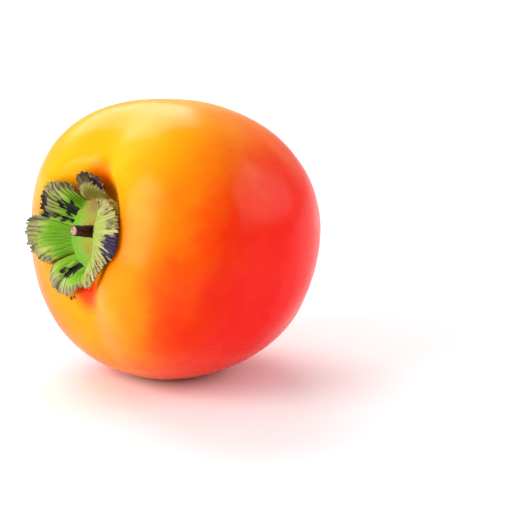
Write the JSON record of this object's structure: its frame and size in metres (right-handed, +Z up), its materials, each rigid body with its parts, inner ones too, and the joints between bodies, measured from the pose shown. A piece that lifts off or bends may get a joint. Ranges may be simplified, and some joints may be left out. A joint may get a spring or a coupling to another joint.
{
  "type": "persimmon",
  "caption": "Whole ripe persimmon lying on its side, with a flared four-lobed calyx, a short stub of cut stem and a small flat spot that it rests on.",
  "frame": {"origin": "on the surface that the fruit rests on, under the middle of the whole object's box", "axes": "+Z up, -X towards the stem and calyx end (the core rises 16.8 degrees towards it), +Y across the fruit to the side of the longest sepal"},
  "size_m": [0.082, 0.0814, 0.0798],
  "materials": {
    "skin": "smooth waxy fruit skin, yellow-orange at the calyx end and red-orange at the blossom end",
    "cup": "smooth matt olive plant tissue",
    "sepal": "leathery green calyx lobe with dried brown margins",
    "stem": "rough dark brown bark with a pale cut end",
    "style": "dry blackened plant fibre"
  },
  "bodies": {
    "root": {"fruit_body": "skin", "calyx_cup": "cup", "sepal_left": "sepal", "sepal_top": "sepal", "sepal_right": "sepal", "sepal_bottom": "sepal", "stem_stub": "stem", "style_remnant": "style"}
  },
  "joints": []
}
